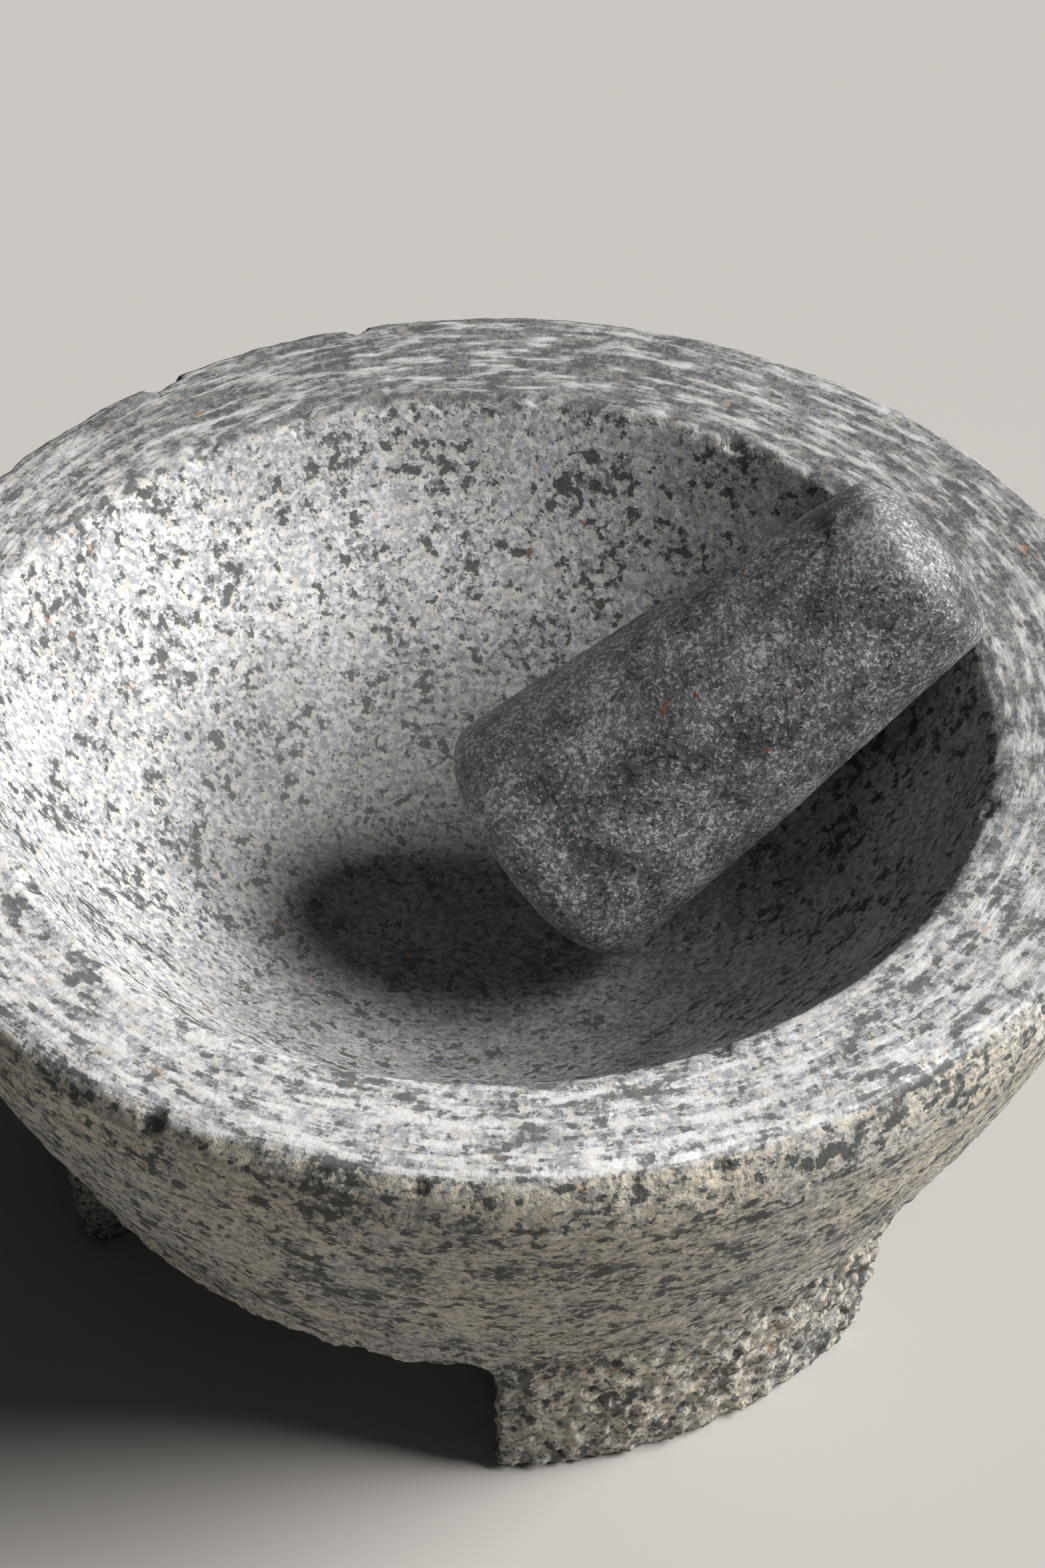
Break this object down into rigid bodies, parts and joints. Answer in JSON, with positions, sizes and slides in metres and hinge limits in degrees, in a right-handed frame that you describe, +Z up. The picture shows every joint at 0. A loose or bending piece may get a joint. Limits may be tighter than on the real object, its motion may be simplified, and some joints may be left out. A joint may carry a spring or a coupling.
{
  "type": "molcajete",
  "caption": "Stone mortar with a wide flat rim, a round hollow and notched feet, with a loose tapered pestle leaning in the hollow.",
  "frame": {"origin": "on the mortar's outside axis, at table level", "axes": "+Z up; -Y is the front, the side with one foot turned towards the viewer and to the right; the pestle's narrow end points to +X and slightly +Y"},
  "size_m": [0.2152, 0.2152, 0.1342],
  "materials": {
    "mortar_granite": "pale speckled granite, ground rim and hollow, rough-dressed outside",
    "pestle_granite": "dark fine-grained granite, tumbled smooth"
  },
  "bodies": {
    "mortar": {"mortar": "mortar_granite"},
    "pestle": {"pestle": "pestle_granite"}
  },
  "joints": [
    {"name": "pestle_lift", "type": "slide", "parent": "mortar", "child": "pestle", "axis": [0, 0, 1], "range_m": [0, 0.12]}
  ]
}
